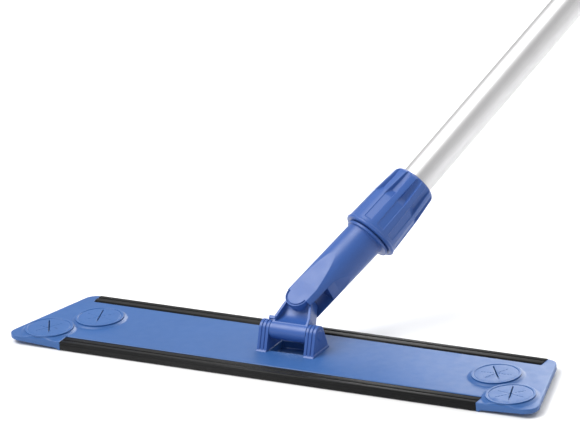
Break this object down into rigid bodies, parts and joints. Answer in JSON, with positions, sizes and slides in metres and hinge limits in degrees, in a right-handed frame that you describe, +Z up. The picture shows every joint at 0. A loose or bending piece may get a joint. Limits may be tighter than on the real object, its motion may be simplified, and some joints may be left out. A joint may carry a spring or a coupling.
{
  "type": "flat mop",
  "caption": "Flat mop with a trapezoidal cloth holder plate, star-slit cloth grippers, rubber edge strips, a two-axis swivel joint and a clamped aluminium handle.",
  "frame": {"origin": "on the plate's flat underside, straight below the middle of the lower hinge", "axes": "+X along the plate to its right end, +Y to the plate's back edge, +Z up; the handle leans back and to the right and stands 3.3 degrees steeper than the socket's fork"},
  "size_m": [0.7824, 1.1864, 0.8714],
  "materials": {
    "plate_blue": "satin moulded polypropylene, mid blue",
    "gripper_blue": "soft satin elastomer, mid blue",
    "joint_blue": "satin moulded polypropylene, mid blue",
    "rubber_black": "matt extruded rubber",
    "pin_steel": "bright drawn steel",
    "tube_aluminium": "satin anodised",
    "grip_blue": "satin moulded plastic, mid blue"
  },
  "bodies": {
    "handle": {"handle_tube": "tube_aluminium", "tube_end_plug": "grip_blue", "hand_grip": "grip_blue", "hanging_cap": "grip_blue"},
    "socket": {"handle_socket": "joint_blue", "upper_pivot_pin": "pin_steel", "upper_pin_plug": "joint_blue"},
    "clamp": {"clamp_ring": "joint_blue"},
    "collar": {"locking_collar": "joint_blue"},
    "yoke": {"swivel_yoke": "joint_blue"},
    "plate": {"base_plate": "plate_blue", "front_edge_strip": "rubber_black", "back_edge_strip": "rubber_black", "cloth_gripper_front_left": "gripper_blue", "cloth_gripper_front_right": "gripper_blue", "cloth_gripper_back_left": "gripper_blue", "cloth_gripper_back_right": "gripper_blue", "lower_pivot_pin": "pin_steel", "lower_pin_cap_left": "joint_blue", "lower_pin_cap_right": "joint_blue"}
  },
  "joints": [
    {"name": "tube_pull", "type": "slide", "parent": "handle", "child": "socket", "axis": [-0.3665, -0.746, -0.556], "range_m": [0, 0.04]},
    {"name": "collar_lift", "type": "slide", "parent": "socket", "child": "clamp", "axis": [0.3665, 0.746, 0.556], "range_m": [0, 0.0062]},
    {"name": "collar_turn", "type": "hinge", "parent": "clamp", "child": "collar", "pos_m": [0.04216, 0.09276, 0.08984], "axis": [0.3665, 0.746, 0.556], "range_deg": [0, 720]},
    {"name": "handle_swing", "type": "hinge", "parent": "socket", "child": "yoke", "pos_m": [0, 0.02004, 0.03564], "axis": [0, 0.5976, -0.8018], "range_deg": [-45.2, 94.8]},
    {"name": "plate_tilt", "type": "hinge", "parent": "yoke", "child": "plate", "pos_m": [0, 0, 0.0207], "axis": [1, 0, 0], "range_deg": [-88.3, 21.7]}
  ],
  "couplings": [
    {"joint": "collar_lift", "follows": "collar_turn", "m_per_rad": 0.00047746}
  ]
}
